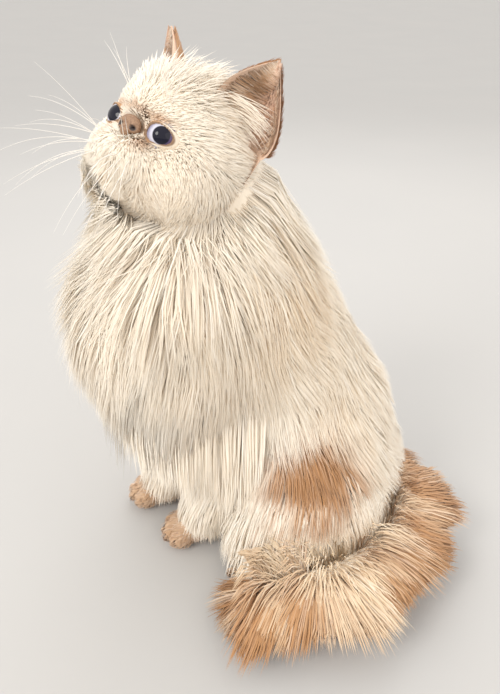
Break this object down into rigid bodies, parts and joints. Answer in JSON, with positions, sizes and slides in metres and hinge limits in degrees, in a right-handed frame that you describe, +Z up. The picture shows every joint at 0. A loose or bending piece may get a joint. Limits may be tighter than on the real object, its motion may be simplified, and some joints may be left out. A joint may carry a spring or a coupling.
{
  "type": "persian cat",
  "caption": "Life-size still model of a sitting longhaired cat, flat face turned up over its left shoulder, full ruff and plumed tail.",
  "frame": {"origin": "on the floor, on the flat under the middle of the seat", "axes": "+Z up, the body faces -Y, its own left side is +X"},
  "size_m": [0.2495, 0.2855, 0.3714],
  "materials": {
    "coat_cream": "long soft coat, matt",
    "coat_flame": "orange-tan hair of ears, paws and tail, matt",
    "nose_skin": "bare skin, slightly moist",
    "eye": "wet, glossy"
  },
  "bodies": {
    "root": {"head": "coat_cream", "nose": "nose_skin", "eye_left": "eye", "eye_right": "eye", "ear_left": "coat_flame", "ear_right": "coat_flame", "neck": "coat_cream", "chest_ruff": "coat_cream", "torso": "coat_cream", "foreleg_left": "coat_cream", "foreleg_right": "coat_cream", "forepaw_left": "coat_flame", "forepaw_right": "coat_flame", "hindleg_left": "coat_cream", "hindleg_right": "coat_cream", "hindfoot_left": "coat_flame", "hindfoot_right": "coat_flame", "tail_base": "coat_flame", "tail_middle": "coat_flame", "tail_tip": "coat_flame"}
  },
  "joints": []
}
